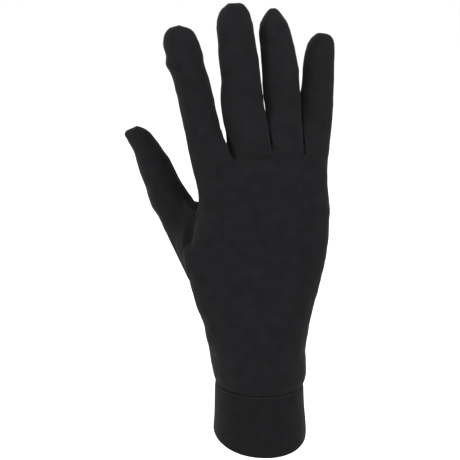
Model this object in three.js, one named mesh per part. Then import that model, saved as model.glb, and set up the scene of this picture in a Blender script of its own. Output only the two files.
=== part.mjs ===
// Glove liner for the right hand: thin jersey knit, in the form that it has when worn.
//
// Frame, in millimetres: +Z runs from the cuff to the fingertips, -Y is the back of the hand, +Y the
// palm, -X the thumb's side and +X the little finger's side. The origin is the centre of the cuff's
// mouth.
//
// The cloth is one branching skin of rows and columns. Its columns go up from the wrist seam to the
// knuckles, where they part into four stalls, and a hole in the thumb edge takes the thumb's stall.
// The skin is then cut along the seams, and each piece gets its thickness and its seam clearance.
import * as THREE from "three";

// Cloth and clearances
const CLOTH = 1.2; // one layer of jersey
const CUFF_CLOTH = 2.3; // the cuff's two layers
const SEAM_GAP = 0.3; // clearance between two pieces sewn edge to edge
const STALL_GAP = 0.7; // air between two stalls that lie against each other

// Cuff
const CUFF_WIDTH = 50;
const CUFF_DEPTH = 39;
const CUFF_HEIGHT = 26; // mouth to the height from which the palm is measured
const CUFF_DROOP = 8.8; // how far the hem hangs lower on the back of the hand
const CUFF_TILT = 1.8; // how far the hem is higher on the thumb's side, and lower on the other
const DROOP_TURN = 0.3; // how gradually the hem and the wrist seam start to drop towards the back

// Wrist seam
const SEAM_RISE = 3.4; // how much higher than CUFF_HEIGHT it lies at the sides and on the palm
const SEAM_TILT = 0.5; // how much more than that on the thumb's side, and less on the other
const SEAM_DROOP = 2; // how far it drops at the back
const SEAM_SHIFT_END = 0.22; // share of the palm's length up to which the cloth follows it

// Palm and back
const PALM_LENGTH = 131; // to the knuckles
const PALM_THICKNESS = 26; // at the knuckles
const THUMB_HOLE_LOW = 62; // above the palm's start
const THUMB_HOLE_HIGH = 99;

// Stalls: length from the knuckles, width and thickness
const INDEX_LENGTH = 71.5;
const INDEX_WIDTH = 18.6;
const INDEX_THICKNESS = 17;
const MIDDLE_LENGTH = 80.6;
const MIDDLE_WIDTH = 20.4;
const MIDDLE_THICKNESS = 18;
const RING_LENGTH = 77.9;
const RING_WIDTH = 18.8;
const RING_THICKNESS = 17.4;
const LITTLE_LENGTH = 66;
const LITTLE_WIDTH = 16.6;
const LITTLE_THICKNESS = 15.5;
const THUMB_LENGTH = 86.5; // from inside the heel of the thumb
const THUMB_WIDTH = 18;
const THUMB_THICKNESS = 18;

// Mesh: columns on each face of a stall, and rows
const FACE = 4;
const ROWS_BELOW_THUMB = 9;
const ROWS_BESIDE_THUMB = 6;
const ROWS_ABOVE_THUMB = 4;
const STALL_ROWS = 9;
const CAP_ROWS = 4;
const CUFF_ROWS = 5;
const HEM_ROWS = 4;

const KNUCKLE_WIDTH = INDEX_WIDTH + MIDDLE_WIDTH + RING_WIDTH + LITTLE_WIDTH;
const COLUMNS = 10 * FACE;

// Sections of the palm. at: share of the palm's length. thumb, little: half widths on those sides, as
// shares of half the width there. back, palm: half depths, as shares of half the thickness there.
// round: exponent of the section's curve. seam: turn in degrees from the thumb edge to the seam.
const PALM_SECTIONS = [
  { at: 0.0, thumb: 0.965, little: 0.955, back: 0.95, palm: 0.95, round: 2.1, seam: 28 },
  { at: 0.035, thumb: 1.0, little: 1.005, back: 1.02, palm: 1.0, round: 2.1, seam: 28 },
  { at: 0.08, thumb: 1.02, little: 0.99, back: 1.03, palm: 1.0, round: 2.1, seam: 28 },
  { at: 0.15, thumb: 1.035, little: 0.945, back: 1.01, palm: 1.0, round: 2.15, seam: 28 },
  { at: 0.22, thumb: 1.07, little: 0.955, back: 0.99, palm: 1.0, round: 2.2, seam: 27 },
  { at: 0.29, thumb: 1.09, little: 0.965, back: 0.96, palm: 1.02, round: 2.3, seam: 25 },
  { at: 0.36, thumb: 1.175, little: 0.995, back: 0.93, palm: 1.06, round: 2.35, seam: 22 },
  { at: 0.43, thumb: 1.23, little: 1.045, back: 0.9, palm: 1.1, round: 2.4, seam: 16 },
  { at: 0.5, thumb: 1.275, little: 1.085, back: 0.88, palm: 1.14, round: 2.4, seam: 9 },
  { at: 0.57, thumb: 1.3, little: 1.105, back: 0.88, palm: 1.15, round: 2.4, seam: 6 },
  { at: 0.64, thumb: 1.235, little: 1.105, back: 0.89, palm: 1.1, round: 2.4, seam: 6 },
  { at: 0.71, thumb: 1.08, little: 1.093, back: 0.91, palm: 1.05, round: 2.45, seam: 8 },
  { at: 0.78, thumb: 0.985, little: 1.078, back: 0.93, palm: 1.0, round: 2.5, seam: 14 },
  { at: 0.85, thumb: 0.945, little: 1.02, back: 0.95, palm: 0.96, round: 2.5, seam: 22 },
  { at: 0.92, thumb: 0.98, little: 0.978, back: 0.97, palm: 0.93, round: 2.5, seam: 27 },
  { at: 1.0, thumb: 1.025, little: 0.953, back: 0.97, palm: 0.9, round: 2.5, seam: 30 },
];
const SIDE_SEAM_TURN = 28; // degrees, at the other three corners of the section

// Crotches between the stalls, from the back of the hand through the middle to the palm. Across:
// shares of half the knuckles' width. High: shares of the palm's length. split: where two stalls part,
// as a share of the way from one axis to the next.
const CROTCHES = [
  {
    name: "index_middle", backAcross: -0.364, middleAcross: -0.487, palmAcross: -0.45,
    backHigh: 0.992, middleHigh: 1.04, palmHigh: 1.02, split: 0.49,
  },
  {
    name: "middle_ring", backAcross: 0.162, middleAcross: 0.12, palmAcross: 0.08,
    backHigh: 1.033, middleHigh: 1.072, palmHigh: 1.055, split: 0.55,
  },
  {
    name: "ring_little", backAcross: 0.66, middleAcross: 0.615, palmAcross: 0.565,
    backHigh: 1.01, middleHigh: 1.05, palmHigh: 1.035, split: 0.55,
  },
];
const THUMB_EDGE_HIGH = 0.992; // where the palm ends at its two edges
const LITTLE_EDGE_HIGH = 0.965;
const SPLIT_LENGTH = 0.28; // share of the palm's length over which the split moves to the middle
const SPLIT_SLANT = 0.16; // how far a split leans towards the thumb's side, per millimetre of depth
const GROOVE_DEPTH = 0.26; // dent between two knuckles, as a share of the depth
const GROOVE_WIDTH = 0.15; // share of half the knuckles' width
const GROOVE_LENGTH = 0.2; // share of the palm's length

// Stalls. seat: where the axis starts, as a share of the stall's own width. high: the axis's start,
// as a share of the palm's length. lean: degrees from upright. start, curl: the axis's depth at its
// start and how much deeper it is at the tip, as shares of the thickness. Section rows: at, a share
// of the length; left and right, shares of the width.
const STALLS = [
  {
    name: "index", width: INDEX_WIDTH, length: INDEX_LENGTH, thickness: INDEX_THICKNESS,
    seat: 0.49, high: 0.992, lean: -13.4, start: 0.03, curl: 0.42,
    sections: [
      { at: 0.0, left: 0.505, right: 0.44 },
      { at: 0.15, left: 0.48, right: 0.44 },
      { at: 0.3, left: 0.455, right: 0.5 },
      { at: 0.45, left: 0.44, right: 0.56 },
      { at: 0.6, left: 0.446, right: 0.555 },
      { at: 0.69, left: 0.48, right: 0.53 },
      { at: 0.75, left: 0.535, right: 0.555 },
      { at: 0.81, left: 0.48, right: 0.53 },
      { at: 0.88, left: 0.487, right: 0.49 },
      { at: 0.93, left: 0.43, right: 0.43 },
      { at: 0.96, left: 0.365, right: 0.315 },
      { at: 0.985, left: 0.275, right: 0.155 },
      { at: 1.0, left: 0.18, right: 0.085 },
    ],
  },
  {
    name: "middle", width: MIDDLE_WIDTH, length: MIDDLE_LENGTH, thickness: MIDDLE_THICKNESS,
    seat: 0.6, high: 1.004, lean: -5.9, start: -0.08, curl: 0.4,
    sections: [
      { at: 0.0, left: 0.588, right: 0.57 },
      { at: 0.15, left: 0.56, right: 0.575 },
      { at: 0.3, left: 0.585, right: 0.57 },
      { at: 0.4, left: 0.58, right: 0.55 },
      { at: 0.5, left: 0.52, right: 0.525 },
      { at: 0.6, left: 0.515, right: 0.503 },
      { at: 0.75, left: 0.5, right: 0.455 },
      { at: 0.85, left: 0.495, right: 0.447 },
      { at: 0.9, left: 0.465, right: 0.41 },
      { at: 0.93, left: 0.42, right: 0.385 },
      { at: 0.96, left: 0.345, right: 0.32 },
      { at: 0.985, left: 0.215, right: 0.25 },
      { at: 1.0, left: 0.127, right: 0.14 },
    ],
  },
  {
    name: "ring", width: RING_WIDTH, length: RING_LENGTH, thickness: RING_THICKNESS,
    seat: 0.675, high: 1.001, lean: -6.5, start: 0.03, curl: 0.46,
    sections: [
      { at: 0.0, left: 0.505, right: 0.53 },
      { at: 0.3, left: 0.515, right: 0.56 },
      { at: 0.5, left: 0.51, right: 0.567 },
      { at: 0.6, left: 0.466, right: 0.55 },
      { at: 0.75, left: 0.455, right: 0.487 },
      { at: 0.85, left: 0.447, right: 0.415 },
      { at: 0.9, left: 0.404, right: 0.351 },
      { at: 0.93, left: 0.338, right: 0.29 },
      { at: 0.96, left: 0.252, right: 0.225 },
      { at: 0.985, left: 0.135, right: 0.15 },
      { at: 1.0, left: 0.06, right: 0.075 },
    ],
  },
  {
    name: "little", width: LITTLE_WIDTH, length: LITTLE_LENGTH, thickness: LITTLE_THICKNESS,
    seat: 0.458, high: 0.987, lean: 2.6, start: 0.22, curl: 0.45,
    sections: [
      { at: 0.0, left: 0.542, right: 0.4 },
      { at: 0.15, left: 0.542, right: 0.455 },
      { at: 0.3, left: 0.542, right: 0.515 },
      { at: 0.5, left: 0.54, right: 0.53 },
      { at: 0.6, left: 0.515, right: 0.52 },
      { at: 0.75, left: 0.51, right: 0.485 },
      { at: 0.85, left: 0.47, right: 0.465 },
      { at: 0.9, left: 0.41, right: 0.455 },
      { at: 0.93, left: 0.35, right: 0.445 },
      { at: 0.96, left: 0.275, right: 0.4 },
      { at: 0.985, left: 0.165, right: 0.31 },
      { at: 1.0, left: 0.09, right: 0.16 },
    ],
  },
];
const THUMB = {
  name: "thumb", width: THUMB_WIDTH, length: THUMB_LENGTH, thickness: THUMB_THICKNESS,
  lean: -25.1, start: 0.5, curl: 0.94,
  sections: [
    { at: 0.0, left: 0.52, right: 0.62 },
    { at: 0.3, left: 0.51, right: 0.66 },
    { at: 0.44, left: 0.505, right: 0.66 },
    { at: 0.51, left: 0.56, right: 0.61 },
    { at: 0.58, left: 0.53, right: 0.56 },
    { at: 0.65, left: 0.483, right: 0.555 },
    { at: 0.72, left: 0.464, right: 0.55 },
    { at: 0.79, left: 0.43, right: 0.5 },
    { at: 0.86, left: 0.375, right: 0.42 },
    { at: 0.895, left: 0.372, right: 0.375 },
    { at: 0.93, left: 0.4, right: 0.32 },
    { at: 0.96, left: 0.4, right: 0.22 },
    { at: 0.985, left: 0.4, right: 0.1 },
    { at: 1.0, left: 0.31, right: 0.02 },
  ],
};
const THUMB_ACROSS = -0.847; // the thumb axis's start, as a share of half the knuckles' width
const THUMB_HIGH = 0.489; // and as a share of the palm's length
const STALL_ROUND = 2.25; // exponent of a stall's section
const CURL_POWER = 1.6;
const THUMB_CURL_POWER = 1.2;
const STALL_BLEND = 25; // length over which a stall takes its own section
const THUMB_BLEND = 30; // on the thumb's outer side
const THUMB_WEB_BLEND = 9; // on the side towards the index stall
const CAP_START = 0.86; // share of a stall's length where its closed end starts
const CAP_ROUND = 2.3;
const CAP_TAPER = 0.72; // share of a stall's length where its end starts to thin
const FIRST_CORNER = -135; // degrees, from a stall's little side to its corner on the back, thumb side
const SHARPEST_MITRE = 0.4; // cosine of the sharpest turn that a drawn-back edge is mitred for

// Folds and dents. face: the side of the hand. x: shares of half the knuckles' width, z: shares of
// the palm's length above the wrist seam, both from the fold's start to its end. width and height:
// shares of the knuckles' thickness. A dent has a negative height.
const FOLDS = [
  { face: "back", x0: -1.0, z0: 0.79, x1: -1.12, z1: 0.58, width: 0.16, height: 0.06 },
  { face: "back", x0: -1.13, z0: 0.69, x1: -1.16, z1: 0.6, width: 0.1, height: -0.1 },
  { face: "back", x0: -1.24, z0: 0.7, x1: -1.2, z1: 0.5, width: 0.13, height: 0.06 },
  { face: "back", x0: -0.72, z0: 0.16, x1: -0.5, z1: 0.08, width: 0.14, height: -0.03 },
  { face: "back", x0: -0.15, z0: 1.01, x1: 0.12, z1: 1.015, width: 0.1, height: -0.03 },
  { face: "back", x0: -0.5, z0: 0.04, x1: 0.62, z1: 0.04, width: 0.14, height: 0.03 },
  { face: "palm", x0: -0.4, z0: 0.3, x1: 0.0, z1: 0.68, width: 0.4, height: -0.07 },
  { face: "palm", x0: 0.0, z0: 0.83, x1: 0.75, z1: 0.76, width: 0.25, height: -0.05 },
  { face: "palm", x0: -0.4, z0: 0.1, x1: 0.4, z1: 0.13, width: 0.16, height: -0.05 },
];

const CLOTH_COLOUR = 0x232224;
const CUFF_COLOUR = 0x222123;

const radians = THREE.MathUtils.degToRad;
const mix = THREE.MathUtils.lerp;
const clamp = THREE.MathUtils.clamp;

// One column of a table at a place along it, as a smooth curve through the rows.
function read(table, column, place) {
  const last = table.length - 1;
  const at = clamp(place, table[0].at, table[last].at);
  let row = 0;
  while (row < last - 1 && at > table[row + 1].at) row += 1;
  const slope = (index) => {
    const before = table[Math.max(index - 1, 0)];
    const after = table[Math.min(index + 1, last)];
    return (after[column] - before[column]) / (after.at - before.at);
  };
  const span = table[row + 1].at - table[row].at;
  const u = (at - table[row].at) / span;
  const rise = 3 * u * u - 2 * u * u * u;
  const startTurn = u * (1 - u) * (1 - u) * span * slope(row);
  const endTurn = u * u * (u - 1) * span * slope(row + 1);
  return mix(table[row][column], table[row + 1][column], rise) + startTurn + endTurn;
}

// Falls smoothly from 1 to 0 while distance goes from 0 to reach.
function fade(distance, reach) {
  const u = clamp(distance / reach, 0, 1);
  return (1 - u) * (1 - u) * (1 + 2 * u);
}

// A power that keeps the sign of its base.
function signedPower(base, exponent) {
  return Math.sign(base) * Math.abs(base) ** exponent;
}

const WRIST = CUFF_HEIGHT;
const HALF_KNUCKLES = KNUCKLE_WIDTH / 2;
const heightAt = (share) => WRIST + share * PALM_LENGTH;

// The skin: its points, and its four-cornered faces with the piece each belongs to.
const points = [];
const faces = [];

function addPoint(point) {
  points.push(point);
  return points.length - 1;
}

function addFace(piece, a, b, c, d) {
  faces.push({ piece, corners: [a, b, c, d] });
}

// Palm

// 0 on the palm and nearly 1 at the back of the wrist, along one branch of a hyperbola.
function dropToBack(y) {
  const toBack = (-2 * y) / CUFF_DEPTH;
  return (toBack + Math.hypot(toBack, DROOP_TURN)) / 2;
}

// How far the wrist seam lies above the cuff's height.
function seamRise(x, y) {
  return SEAM_RISE - (2 * SEAM_TILT * x) / CUFF_WIDTH - SEAM_DROOP * dropToBack(y);
}

// Where the palm's skin ends, along the back or the palm face.
function knuckleLine(face) {
  const row = (crotch) => ({ at: crotch[`${face}Across`], high: crotch[`${face}High`] });
  return [
    { at: -1, high: THUMB_EDGE_HIGH },
    ...CROTCHES.map(row),
    { at: 1, high: LITTLE_EDGE_HIGH },
  ];
}
const KNUCKLE_LINES = { back: knuckleLine("back"), palm: knuckleLine("palm") };

// The palm's columns: the back from the thumb's side over, the little finger's edge, the palm face
// back again, and the thumb's edge. Each has its share across its face, or its turn round an edge.
function palmColumns() {
  const columns = [];
  const faceColumn = (face, index) => {
    const line = KNUCKLE_LINES[face];
    const stall = Math.min(Math.floor(index / FACE), STALLS.length - 1);
    const across = mix(line[stall].at, line[stall + 1].at, index / FACE - stall);
    return { face, across, high: read(line, "high", across) };
  };
  for (let i = 0; i <= 4 * FACE; i += 1) columns.push(faceColumn("back", i));
  for (let i = 1; i < FACE; i += 1) {
    columns.push({ face: "little", turn: i / FACE, high: LITTLE_EDGE_HIGH });
  }
  for (let i = 4 * FACE; i >= 0; i -= 1) columns.push(faceColumn("palm", i));
  for (let i = 1; i < FACE; i += 1) {
    columns.push({ face: "thumb", turn: i / FACE, high: THUMB_EDGE_HIGH });
  }
  return columns;
}

// A place on the section curve |x|^round + |y|^round = 1, for one column.
function unitSection(column, round, thumbSeam) {
  const corner = (turn) => Math.cos(radians(turn)) ** (2 / round);
  if (column.face === "back" || column.face === "palm") {
    const seam = column.face === "back" && column.across < 0 ? thumbSeam : SIDE_SEAM_TURN;
    const weight = Math.abs(column.across);
    const x = column.across * mix(corner(SIDE_SEAM_TURN), corner(seam), weight * weight);
    const y = (1 - Math.abs(x) ** round) ** (1 / round);
    return [x, column.face === "back" ? -y : y];
  }
  const little = column.face === "little";
  const from = little ? -SIDE_SEAM_TURN : 180 - SIDE_SEAM_TURN;
  const to = little ? SIDE_SEAM_TURN : 180 + thumbSeam;
  const angle = radians(mix(from, to, column.turn));
  return [signedPower(Math.cos(angle), 2 / round), signedPower(Math.sin(angle), 2 / round)];
}

// The dent between two knuckles, which fades down the hand.
function grooveAt(column, high) {
  if (column.face !== "back" && column.face !== "palm") return 0;
  const fall = fade((column.high - high) / GROOVE_LENGTH, 1);
  let dent = 0;
  for (const crotch of CROTCHES) {
    const offset = (column.across - crotch[`${column.face}Across`]) / GROOVE_WIDTH;
    dent += Math.exp(-offset * offset);
  }
  return GROOVE_DEPTH * dent * fall;
}

function palmPoint(column, high) {
  const section = (name) => read(PALM_SECTIONS, name, high);
  const [unitX, unitY] = unitSection(column, section("round"), section("seam"));
  const halfWidth = mix(CUFF_WIDTH, KNUCKLE_WIDTH, clamp(high, 0, 1)) / 2;
  const halfDepth = mix(CUFF_DEPTH, PALM_THICKNESS, clamp(high, 0, 1)) / 2;
  const groove = 1 - grooveAt(column, high);
  const x = unitX * halfWidth * section(unitX < 0 ? "thumb" : "little");
  const y = unitY * halfDepth * section(unitY < 0 ? "back" : "palm") * groove;
  const rise = seamRise(x, y) * fade(high / SEAM_SHIFT_END, 1);
  return new THREE.Vector3(x, y, heightAt(high) + rise);
}

// Rows between the wrist seam and the knuckles, as shares of each column's height.
function palmRows() {
  const low = THUMB_HOLE_LOW / PALM_LENGTH / THUMB_EDGE_HIGH;
  const high = THUMB_HOLE_HIGH / PALM_LENGTH / THUMB_EDGE_HIGH;
  const rows = [0];
  for (let i = 1; i <= ROWS_BELOW_THUMB; i += 1) rows.push((low * i) / ROWS_BELOW_THUMB);
  for (let i = 1; i <= ROWS_BESIDE_THUMB; i += 1) rows.push(mix(low, high, i / ROWS_BESIDE_THUMB));
  for (let i = 1; i <= ROWS_ABOVE_THUMB; i += 1) rows.push(mix(high, 1, i / ROWS_ABOVE_THUMB));
  return rows;
}

// The thumb's hole takes the thumb edge's columns and as many again as make its four sides alike.
const HOLE_FIRST_ROW = ROWS_BELOW_THUMB;
const HOLE_LAST_ROW = ROWS_BELOW_THUMB + ROWS_BESIDE_THUMB;
const HOLE_FIRST_COLUMN = COLUMNS - ROWS_BESIDE_THUMB;

function buildPalm() {
  const columns = palmColumns();
  const grid = palmRows().map((share) =>
    columns.map((column) => addPoint(palmPoint(column, share * column.high))),
  );
  for (let row = 0; row + 1 < grid.length; row += 1) {
    for (let column = 0; column < COLUMNS; column += 1) {
      const inHoleRows = row >= HOLE_FIRST_ROW && row < HOLE_LAST_ROW;
      if (inHoleRows && column >= HOLE_FIRST_COLUMN) continue;
      const next = (column + 1) % COLUMNS;
      const piece = column < 4 * FACE ? "back_panel" : "palm_panel";
      addFace(piece, grid[row][column], grid[row][next], grid[row + 1][next], grid[row + 1][column]);
    }
  }
  return grid;
}

// Stalls

// The axis of a stall at a share of its length; before its start it keeps its depth.
function axisPoint(stall, share) {
  const lean = radians(stall.lean);
  const run = share * stall.length;
  const bend = stall.curl * Math.max(share, 0) ** stall.curlPower;
  return new THREE.Vector3(
    stall.root.x + run * Math.sin(lean),
    stall.thickness * (stall.start + bend),
    stall.root.z + run * Math.cos(lean),
  );
}

// How much of its thickness a stall has near its closed end.
function capDepth(share) {
  const u = clamp((share - CAP_TAPER) / (1 - CAP_TAPER), 0, 1);
  return Math.max(1 - u ** CAP_ROUND, 0) ** (1 / CAP_ROUND);
}

// The stall's own surface: a rounded section round its axis, at an angle from the little side.
function stallPoint(stall, share, angle) {
  const x = signedPower(Math.cos(angle), 2 / STALL_ROUND);
  const y = signedPower(Math.sin(angle), 2 / STALL_ROUND);
  const lean = radians(stall.lean);
  const across = x * stall.width * read(stall.sections, x < 0 ? "left" : "right", share);
  const deep = y * 0.5 * stall.thickness * capDepth(share);
  const offset = new THREE.Vector3(across * Math.cos(lean), deep, -across * Math.sin(lean));
  return axisPoint(stall, share).add(offset);
}

// The share of the stall's length that lies level with a point.
function shareAt(stall, point) {
  const lean = radians(stall.lean);
  const across = (point.x - stall.root.x) * Math.sin(lean);
  return (across + (point.z - stall.root.z) * Math.cos(lean)) / stall.length;
}

// Where the air between two stalls lies, at a point's height and depth.
function splitAcross(index, point) {
  const crotch = CROTCHES[index];
  const axisAcross = (stall) => stall.root.x + (point.z - stall.root.z) * Math.tan(radians(stall.lean));
  const above = (point.z - heightAt(crotch.middleHigh)) / (SPLIT_LENGTH * PALM_LENGTH);
  const share = mix(crotch.split, 0.5, clamp(above, 0, 1));
  const slant = SPLIT_SLANT * point.y * (1 - clamp(above, 0, 1));
  return mix(axisAcross(STALLS[index]), axisAcross(STALLS[index + 1]), share) - slant;
}

// Presses a finger stall's point back from the air on either side.
function pressBack(index, point) {
  const clearance = STALL_GAP / 2;
  if (index > 0) point.x = Math.max(point.x, splitAcross(index - 1, point) + clearance);
  if (index < CROTCHES.length) point.x = Math.min(point.x, splitAcross(index, point) - clearance);
  return point;
}

// Rows of a stall as shares of its free length: even along it, then closer over its end.
function stallRows() {
  const rows = [];
  for (let i = 1; i <= STALL_ROWS; i += 1) rows.push((CAP_START * i) / STALL_ROWS);
  for (let i = 1; i <= CAP_ROWS; i += 1) {
    rows.push(mix(CAP_START, 1, Math.sin((0.5 * Math.PI * i) / CAP_ROWS)));
  }
  return rows;
}

// Builds a closed stall on a loop of skin points. The loop has as many points on each of the four
// faces: back, little side, palm, thumb side. blend gives, for an angle, the length over which the
// stall takes its own section. The last row is flat, so its two faces share points.
function buildStall(stall, loop, blend, finish, pieceOf) {
  const side = loop.length / 4;
  const angles = loop.map((_, i) => radians(FIRST_CORNER + (90 * i) / side));
  const starts = loop.map((id) => points[id]);
  const shares = starts.map((point) => shareAt(stall, point));
  const offsets = starts.map((point, i) => point.clone().sub(stallPoint(stall, shares[i], angles[i])));
  let below = loop;
  stallRows().forEach((rowShare, row, rows) => {
    const closing = row === rows.length - 1;
    const ring = [];
    for (let i = 0; i < loop.length; i += 1) {
      const mirrored = (3 * side - i + loop.length) % loop.length;
      if (closing && mirrored < i) {
        ring.push(ring[mirrored]);
        continue;
      }
      const share = mix(shares[i], 1, rowShare);
      const run = (share - shares[i]) * stall.length;
      const point = stallPoint(stall, share, angles[i]);
      point.addScaledVector(offsets[i], fade(run, blend(angles[i])));
      ring.push(addPoint(finish(point)));
    }
    for (let i = 0; i < loop.length; i += 1) {
      const next = (i + 1) % loop.length;
      const piece = pieceOf(Math.floor(i / side), row < STALL_ROWS);
      addFace(piece, below[i], below[next], ring[next], ring[i]);
    }
    below = ring;
  });
}

// The path of skin points over a crotch, between its ends on the back and on the palm.
function crotchPath(crotch, start, end) {
  const path = [];
  for (let i = 1; i < FACE; i += 1) {
    const u = i / FACE;
    const arch = 4 * u * (1 - u);
    const from = points[start];
    const to = points[end];
    const middleX = crotch.middleAcross * HALF_KNUCKLES - (from.x + to.x) / 2;
    const middleZ = heightAt(crotch.middleHigh) - (from.z + to.z) / 2;
    const y = mix(from.y, to.y, (1 - Math.cos(Math.PI * u)) / 2);
    const point = new THREE.Vector3(mix(from.x, to.x, u) + arch * middleX, y, 0);
    point.z = mix(from.z, to.z, u) + Math.sqrt(arch) * middleZ;
    path.push(addPoint(point));
  }
  return path;
}

function buildFingers(knuckles) {
  const palmStart = 9 * FACE; // the thumb side's end of the palm face
  const crotchPaths = CROTCHES.map((crotch, i) =>
    crotchPath(crotch, knuckles[(i + 1) * FACE], knuckles[palmStart - (i + 1) * FACE]),
  );
  const littleEdge = knuckles.slice(4 * FACE + 1, 5 * FACE);
  const thumbEdge = knuckles.slice(palmStart + 1);
  let edge = -HALF_KNUCKLES;
  for (const stall of STALLS) {
    stall.curlPower = CURL_POWER;
    stall.root = new THREE.Vector3(edge + stall.seat * stall.width, 0, heightAt(stall.high));
    edge += stall.width;
  }
  STALLS.forEach((stall, index) => {
    const back = index * FACE;
    const palm = palmStart - (index + 1) * FACE;
    const right = index < CROTCHES.length ? crotchPaths[index] : littleEdge;
    const left = index > 0 ? [...crotchPaths[index - 1]].reverse() : thumbEdge;
    const loop = [
      ...knuckles.slice(back, back + FACE + 1),
      ...right,
      ...knuckles.slice(palm, palm + FACE + 1),
      ...left,
    ];
    const pieceOf = (face, belowCap) => {
      if (face === 0) return "back_panel";
      if (face === 1 && belowCap && index < CROTCHES.length) {
        return `fourchette_${CROTCHES[index].name}`;
      }
      if (face === 3 && belowCap && index > 0) return `fourchette_${CROTCHES[index - 1].name}`;
      return "palm_panel";
    };
    buildStall(stall, loop, () => STALL_BLEND, (point) => pressBack(index, point), pieceOf);
  });
}

// The thumb's stall stands on the hole's rim: up its front, over the top, down the palm, and back.
function buildThumb(grid) {
  THUMB.curlPower = THUMB_CURL_POWER;
  THUMB.root = new THREE.Vector3(THUMB_ACROSS * HALF_KNUCKLES, 0, heightAt(THUMB_HIGH));
  const loop = [];
  for (let row = HOLE_FIRST_ROW; row < HOLE_LAST_ROW; row += 1) loop.push(grid[row][0]);
  loop.push(grid[HOLE_LAST_ROW][0]);
  for (let column = COLUMNS - 1; column > HOLE_FIRST_COLUMN; column -= 1) {
    loop.push(grid[HOLE_LAST_ROW][column]);
  }
  for (let row = HOLE_LAST_ROW; row > HOLE_FIRST_ROW; row -= 1) loop.push(grid[row][HOLE_FIRST_COLUMN]);
  for (let column = HOLE_FIRST_COLUMN; column < COLUMNS; column += 1) {
    loop.push(grid[HOLE_FIRST_ROW][column]);
  }
  const blend = (angle) => mix(THUMB_BLEND, THUMB_WEB_BLEND, (1 + Math.cos(angle)) / 2);
  buildStall(THUMB, loop, blend, (point) => point, () => "thumb");
}

// Folds

// The skin's outward directions, from the faces round each point.
function pointNormals() {
  const normals = points.map(() => new THREE.Vector3());
  for (const { corners } of faces) {
    const [a, b, c, d] = corners.map((id) => points[id]);
    const across = c.clone().sub(a);
    const along = d.clone().sub(b);
    const normal = across.cross(along);
    for (const id of corners) normals[id].add(normal);
  }
  return normals.map((normal) => normal.normalize());
}

// Height of the folds and dents at a place on one side of the hand.
function foldHeight(point, normal) {
  let height = 0;
  for (const fold of FOLDS) {
    const facing = fold.face === "back" ? -normal.y : normal.y;
    const start = new THREE.Vector2(fold.x0 * HALF_KNUCKLES, heightAt(fold.z0));
    const line = new THREE.Vector2(fold.x1 * HALF_KNUCKLES, heightAt(fold.z1)).sub(start);
    const from = new THREE.Vector2(point.x, point.z).sub(start);
    const along = clamp(from.dot(line) / line.lengthSq(), 0, 1);
    const away = from.distanceTo(line.multiplyScalar(along)) / (fold.width * PALM_THICKNESS);
    height += fold.height * PALM_THICKNESS * Math.exp(-away * away) * clamp(2 * facing, 0, 1);
  }
  return height;
}

function foldSkin() {
  const normals = pointNormals();
  points.forEach((point, id) => point.addScaledVector(normals[id], foldHeight(point, normals[id])));
}

// Pieces

// A closed body from triangles of points.
function bodyMesh(name, triangles, colour) {
  const positions = triangles.flat().flatMap((point) => [point.x, point.y, point.z]);
  const geometry = new THREE.BufferGeometry();
  geometry.setAttribute("position", new THREE.Float32BufferAttribute(positions, 3));
  geometry.computeVertexNormals();
  const material = new THREE.MeshStandardMaterial({ color: colour, roughness: 0.95, metalness: 0 });
  const mesh = new THREE.Mesh(geometry, material);
  mesh.name = name;
  return mesh;
}

// The edges of a piece, each once, in its face's order, with the direction into the piece.
function pieceEdges(pieceFaces, normals) {
  const key = (from, to) => `${from} ${to}`;
  const walked = new Set();
  for (const { corners } of pieceFaces) {
    corners.forEach((id, i) => walked.add(key(id, corners[(i + 1) % 4])));
  }
  const edges = [];
  for (const { corners } of pieceFaces) {
    corners.forEach((from, i) => {
      const to = corners[(i + 1) % 4];
      if (walked.has(key(to, from))) return;
      const normal = normals[from].clone().add(normals[to]);
      const along = points[to].clone().sub(points[from]);
      edges.push({ from, to, inward: normal.cross(along).normalize() });
    });
  }
  return edges;
}

// Where the piece's points lie once its edges are drawn back by half the seam's clearance.
function drawnBack(edges) {
  const inward = new Map();
  for (const { from, to, inward: direction } of edges) {
    for (const id of [from, to]) inward.set(id, [...(inward.get(id) ?? []), direction]);
  }
  const shifts = new Map();
  for (const [id, directions] of inward) {
    const sum = directions.reduce((total, one) => total.add(one), new THREE.Vector3());
    const bisector = sum.clone().normalize();
    const reach = Math.max(bisector.dot(directions[0]), SHARPEST_MITRE);
    shifts.set(id, bisector.multiplyScalar(SEAM_GAP / 2 / reach));
  }
  return shifts;
}

// Thickens the faces of one piece inwards and closes its edges.
function sewnPiece(name, colour, normals) {
  const pieceFaces = faces.filter((face) => face.piece === name);
  const edges = pieceEdges(pieceFaces, normals);
  const shifts = drawnBack(edges);
  const still = new THREE.Vector3();
  const outside = (id) => points[id].clone().add(shifts.get(id) ?? still);
  const inside = (id) => outside(id).addScaledVector(normals[id], -CLOTH);
  const triangles = [];
  for (const { corners } of pieceFaces) {
    const [a, b, c, d] = corners;
    const shortWay = points[a].distanceTo(points[c]) <= points[b].distanceTo(points[d]);
    const halves = shortWay ? [[a, b, c], [a, c, d]] : [[a, b, d], [b, c, d]];
    for (const half of halves) {
      triangles.push(half.map(outside));
      triangles.push(half.map(inside).reverse());
    }
  }
  for (const { from, to } of edges) {
    const wall = [outside(to), outside(from), inside(from), inside(to)];
    // Both pieces at an edge split their walls along the same line, so the walls stay parallel.
    if (from > to) wall.push(wall.shift());
    const [a, b, c, d] = wall;
    triangles.push([a, b, c], [a, c, d]);
  }
  return bodyMesh(name, triangles, colour);
}

// Cuff

// How high the hem lies at a place on the cuff.
function hemHeight(x, y) {
  return (-2 * CUFF_TILT * x) / CUFF_WIDTH - CUFF_DROOP * dropToBack(y);
}

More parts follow.
